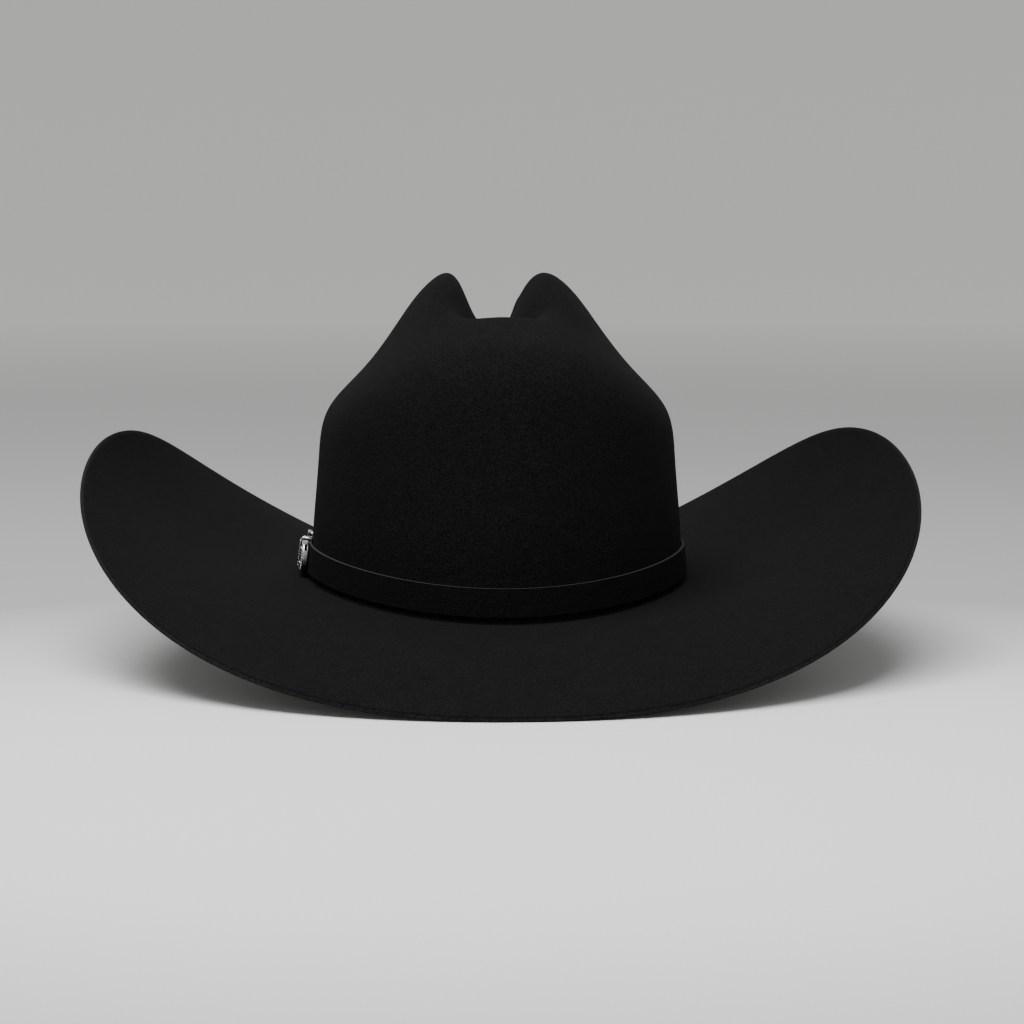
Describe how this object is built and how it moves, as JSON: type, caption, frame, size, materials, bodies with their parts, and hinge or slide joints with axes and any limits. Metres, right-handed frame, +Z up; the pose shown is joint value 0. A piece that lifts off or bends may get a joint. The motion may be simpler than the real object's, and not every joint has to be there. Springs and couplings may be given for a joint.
{
  "type": "cowboy hat",
  "caption": "Felt cowboy hat with a cattleman crease, tall crown, wide brim rolled up at the sides, self-felt hatband and a silver buckle set.",
  "frame": {"origin": "on the surface that the brim rests on, under the middle of the hat", "axes": "+Z up; the front of the hat towards -Y; the wearer's left, with the buckle, towards +X"},
  "size_m": [0.3696, 0.4219, 0.1688],
  "materials": {
    "black_felt": "matte fur felt",
    "band_felt": "matte fur felt",
    "satin": "satin lining",
    "satin_piping": "satin cord",
    "sweat_leather": "smooth leather",
    "reed_plastic": "plain",
    "reed_cloth": "woven tape",
    "thread": "sewing thread",
    "label_cloth": "woven label, blank",
    "ribbon": "grosgrain ribbon",
    "antique_silver": "antiqued silver, dark in the recesses"
  },
  "bodies": {
    "hat": {"felt_body": "black_felt", "lining_sides": "satin", "lining_tip": "satin", "lining_piping": "satin_piping", "sweatband": "sweat_leather", "reed": "reed_plastic", "reed_tape": "reed_cloth", "sweatband_stitches": "thread", "sweatband_seam_patch": "sweat_leather", "size_tag": "label_cloth", "bow_loops": "ribbon", "bow_knot": "ribbon", "bow_tails": "ribbon", "hatband_strap": "band_felt", "band_tacks": "thread", "strap_tip": "antique_silver", "tip_rivets": "antique_silver", "fold_stitches": "thread"},
    "buckle": {"buckle_frame": "antique_silver", "buckle_bar": "antique_silver"},
    "prong": {"buckle_prong": "antique_silver"},
    "keeper": {"keeper_loop": "antique_silver"}
  },
  "joints": [
    {"name": "buckle_swing", "type": "hinge", "parent": "hat", "child": "buckle", "pos_m": [0.085, -0.02251, 0.04132], "axis": [-0.1102, -0.0154, 0.9938], "range_deg": [0, 8]},
    {"name": "prong_lift", "type": "hinge", "parent": "buckle", "child": "prong", "pos_m": [0.085, -0.02251, 0.04132], "axis": [-0.1102, -0.0154, 0.9938], "range_deg": [0, 12]},
    {"name": "keeper_slide", "type": "slide", "parent": "hat", "child": "keeper", "axis": [0.0418, 0.9991, 0.0085], "range_m": [-0.0015, 0.001]}
  ]
}
